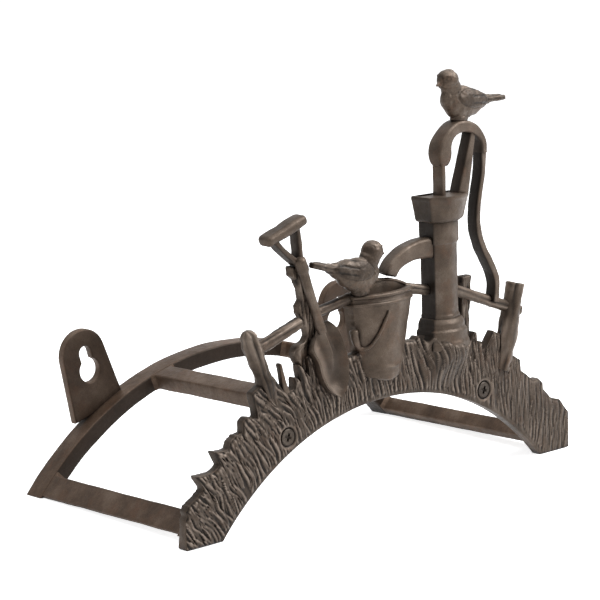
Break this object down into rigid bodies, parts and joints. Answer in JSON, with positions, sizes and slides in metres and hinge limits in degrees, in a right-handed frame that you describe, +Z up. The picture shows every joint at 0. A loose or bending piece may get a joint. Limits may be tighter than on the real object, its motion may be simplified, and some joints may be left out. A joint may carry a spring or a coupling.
{
  "type": "wall hose holder",
  "caption": "Cast-iron wall holder for a coiled garden hose: a barrel-shaped cradle on two keyhole lugs, with a garden scene of grass, fence, spade, bucket, pump and birds on its front panel.",
  "frame": {"origin": "in the wall's plane, midway between the round ends of the two keyholes", "axes": "+X to the right seen from the front, +Y into the wall, +Z up"},
  "size_m": [0.362, 0.1984, 0.2821],
  "materials": {
    "cradle_iron": "antique brown-grey sand-cast iron, satin",
    "panel_iron": "antique brown-grey sand-cast iron, rubbed on the high places",
    "fastener_steel": "blackened steel"
  },
  "bodies": {
    "root": {"cradle_rear_arch": "cradle_iron", "cradle_front_rail": "cradle_iron", "cradle_foot_bar_left": "cradle_iron", "cradle_foot_bar_right": "cradle_iron", "cradle_upper_bar_left": "cradle_iron", "cradle_upper_bar_right": "cradle_iron", "wall_lug_left": "cradle_iron", "wall_lug_right": "cradle_iron", "panel_arch": "panel_iron", "grass_blades": "panel_iron", "screw_left": "fastener_steel", "screw_right": "fastener_steel", "nut_left": "fastener_steel", "nut_right": "fastener_steel", "fence_post_left": "panel_iron", "fence_post_middle": "panel_iron", "fence_post_rear": "panel_iron", "fence_post_right": "panel_iron", "fence_rail_left": "panel_iron", "fence_rail_middle": "panel_iron", "fence_rail_right": "panel_iron", "spade_blade": "panel_iron", "spade_shaft": "panel_iron", "spade_arms": "panel_iron", "spade_grip": "panel_iron", "bucket_body": "panel_iron", "bucket_rim": "panel_iron", "bucket_bail": "panel_iron", "bucket_bird": "panel_iron", "pump_base": "panel_iron", "pump_barrel": "panel_iron", "pump_hopper": "panel_iron", "pump_spout": "panel_iron", "pump_rod": "panel_iron", "pump_gooseneck": "panel_iron", "pump_strut": "panel_iron", "pump_lever": "panel_iron", "pump_bird": "panel_iron"}
  },
  "joints": []
}
